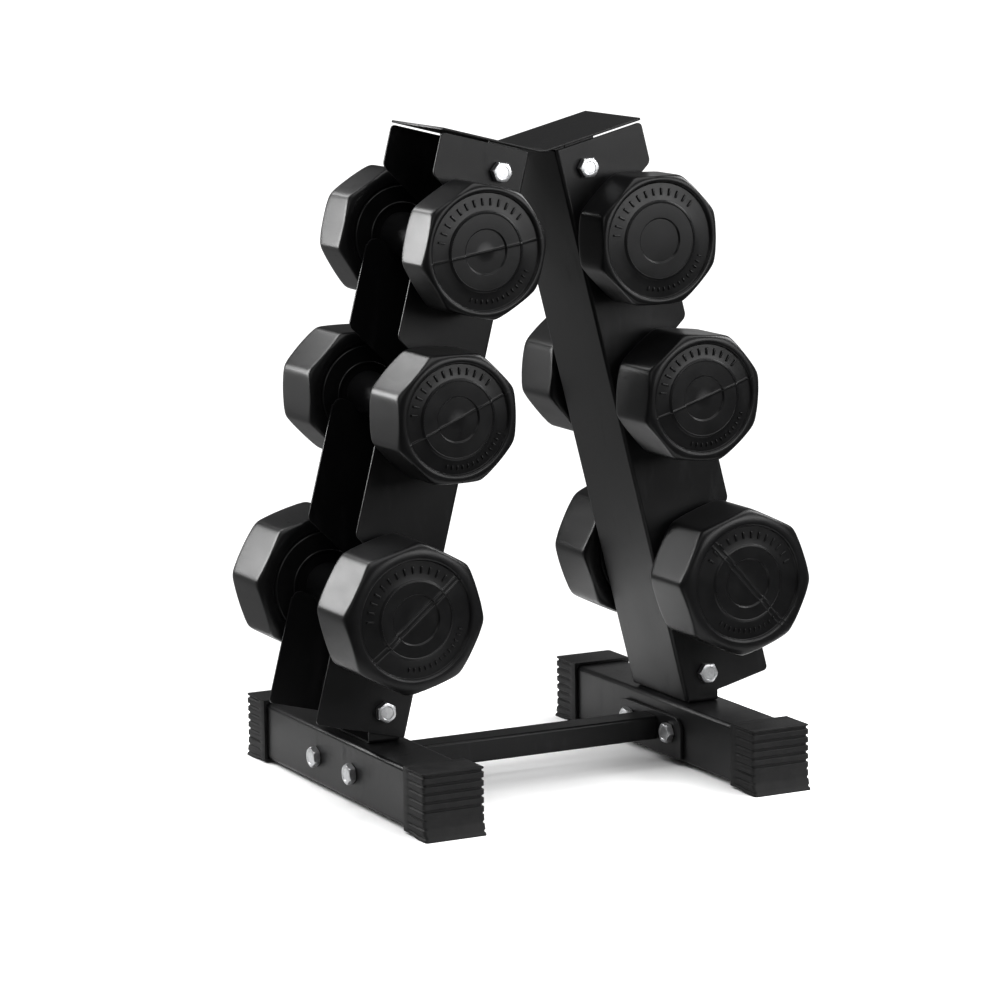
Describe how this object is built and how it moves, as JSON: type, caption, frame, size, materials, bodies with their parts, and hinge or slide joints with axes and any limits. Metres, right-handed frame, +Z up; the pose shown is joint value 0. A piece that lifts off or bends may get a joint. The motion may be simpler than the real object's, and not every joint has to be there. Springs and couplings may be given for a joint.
{
  "type": "dumbbell rack",
  "caption": "Free-standing A-frame steel rack with notched uprights that hold octagonal dumbbells in tiers, each lifting outwards and up out of its notch.",
  "frame": {"origin": "on the floor, in the middle of the rack's footprint", "axes": "+Z up, +X from the left tower to the right tower, -Y towards the viewer at the front"},
  "size_m": [0.5316, 0.436, 0.679],
  "materials": {
    "powder_coat": "satin",
    "cap_rubber": "matte",
    "zinc": "satin",
    "vinyl": "satin",
    "plug": "matte",
    "cement": "matte"
  },
  "bodies": {
    "rack": {"bolt.foot_left_front": "zinc", "bolt.foot_left_rear": "zinc", "bolt.foot_right_front": "zinc", "bolt.foot_right_rear": "zinc", "bolt.low_left_front": "zinc", "bolt.low_left_rear": "zinc", "bolt.low_right_front": "zinc", "bolt.low_right_rear": "zinc", "bolt.top_left_front": "zinc", "bolt.top_left_rear": "zinc", "bolt.top_right_front": "zinc", "bolt.top_right_rear": "zinc", "bracket.left": "powder_coat", "bracket.right": "powder_coat", "crossbar.plate_left": "powder_coat", "crossbar.plate_right": "powder_coat", "crossbar.tube": "powder_coat", "foot.left.cap_front": "cap_rubber", "foot.left.cap_rear": "cap_rubber", "foot.left.tube": "powder_coat", "foot.right.cap_front": "cap_rubber", "foot.right.cap_rear": "cap_rubber", "foot.right.tube": "powder_coat", "nut.foot_left_front": "zinc", "nut.foot_left_rear": "zinc", "nut.foot_right_front": "zinc", "nut.foot_right_rear": "zinc", "nut.low_left_front": "zinc", "nut.low_left_rear": "zinc", "nut.low_right_front": "zinc", "nut.low_right_rear": "zinc", "nut.top_left_front": "zinc", "nut.top_left_rear": "zinc", "nut.top_right_front": "zinc", "nut.top_right_rear": "zinc", "top.joiner": "powder_coat", "upright.left": "powder_coat", "upright.right": "powder_coat"},
    "dumbbell_top_left": {"dumbbell.top_left.shell": "vinyl", "dumbbell.top_left.filling": "cement", "dumbbell.top_left.plug": "plug"},
    "dumbbell_top_right": {"dumbbell.top_right.shell": "vinyl", "dumbbell.top_right.filling": "cement", "dumbbell.top_right.plug": "plug"},
    "dumbbell_middle_left": {"dumbbell.middle_left.shell": "vinyl", "dumbbell.middle_left.filling": "cement", "dumbbell.middle_left.plug": "plug"},
    "dumbbell_middle_right": {"dumbbell.middle_right.shell": "vinyl", "dumbbell.middle_right.filling": "cement", "dumbbell.middle_right.plug": "plug"},
    "dumbbell_bottom_left": {"dumbbell.bottom_left.shell": "vinyl", "dumbbell.bottom_left.filling": "cement", "dumbbell.bottom_left.plug": "plug"},
    "dumbbell_bottom_right": {"dumbbell.bottom_right.shell": "vinyl", "dumbbell.bottom_right.filling": "cement", "dumbbell.bottom_right.plug": "plug"}
  },
  "joints": [
    {"name": "lift_top_left", "type": "slide", "parent": "rack", "child": "dumbbell_top_left", "axis": [-0.8192, 0, 0.5736], "range_m": [0, 0.15]},
    {"name": "lift_top_right", "type": "slide", "parent": "rack", "child": "dumbbell_top_right", "axis": [0.8192, 0, 0.5736], "range_m": [0, 0.15]},
    {"name": "lift_middle_left", "type": "slide", "parent": "rack", "child": "dumbbell_middle_left", "axis": [-0.8192, 0, 0.5736], "range_m": [0, 0.15]},
    {"name": "lift_middle_right", "type": "slide", "parent": "rack", "child": "dumbbell_middle_right", "axis": [0.8192, 0, 0.5736], "range_m": [0, 0.15]},
    {"name": "lift_bottom_left", "type": "slide", "parent": "rack", "child": "dumbbell_bottom_left", "axis": [-0.8192, 0, 0.5736], "range_m": [0, 0.15]},
    {"name": "lift_bottom_right", "type": "slide", "parent": "rack", "child": "dumbbell_bottom_right", "axis": [0.8192, 0, 0.5736], "range_m": [0, 0.15]}
  ]
}
